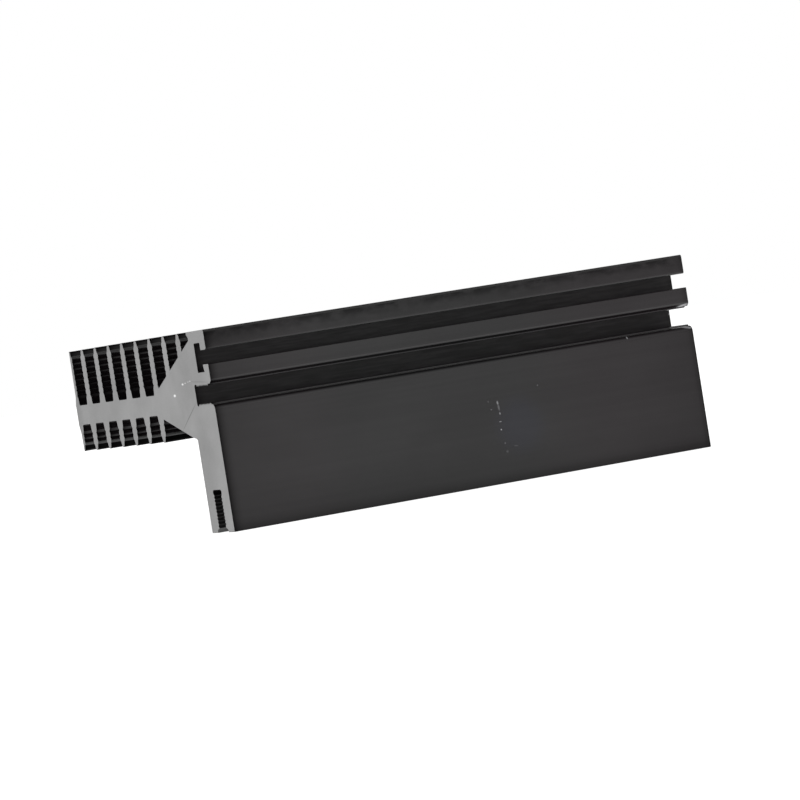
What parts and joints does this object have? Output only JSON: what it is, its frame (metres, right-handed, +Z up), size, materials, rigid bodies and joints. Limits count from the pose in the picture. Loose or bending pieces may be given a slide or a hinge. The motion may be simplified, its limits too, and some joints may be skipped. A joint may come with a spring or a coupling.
{
  "type": "heat sink",
  "caption": "Extruded black-anodised heat sink: an upright device plate, a head with a clip T-slot and a screw channel, and a web with beaded cooling fins above and below.",
  "frame": {"origin": "mid length, in the middle of the plate's foot, where the foot channel opens on the circuit board", "axes": "+X along the bar, +Y from the device face towards the fins, +Z up from the board"},
  "size_m": [0.075, 0.0525, 0.0279],
  "materials": {
    "anodised_aluminium": "satin black anodised, with bare sawn ends"
  },
  "bodies": {
    "root": {"heat_sink": "anodised_aluminium"}
  },
  "joints": []
}
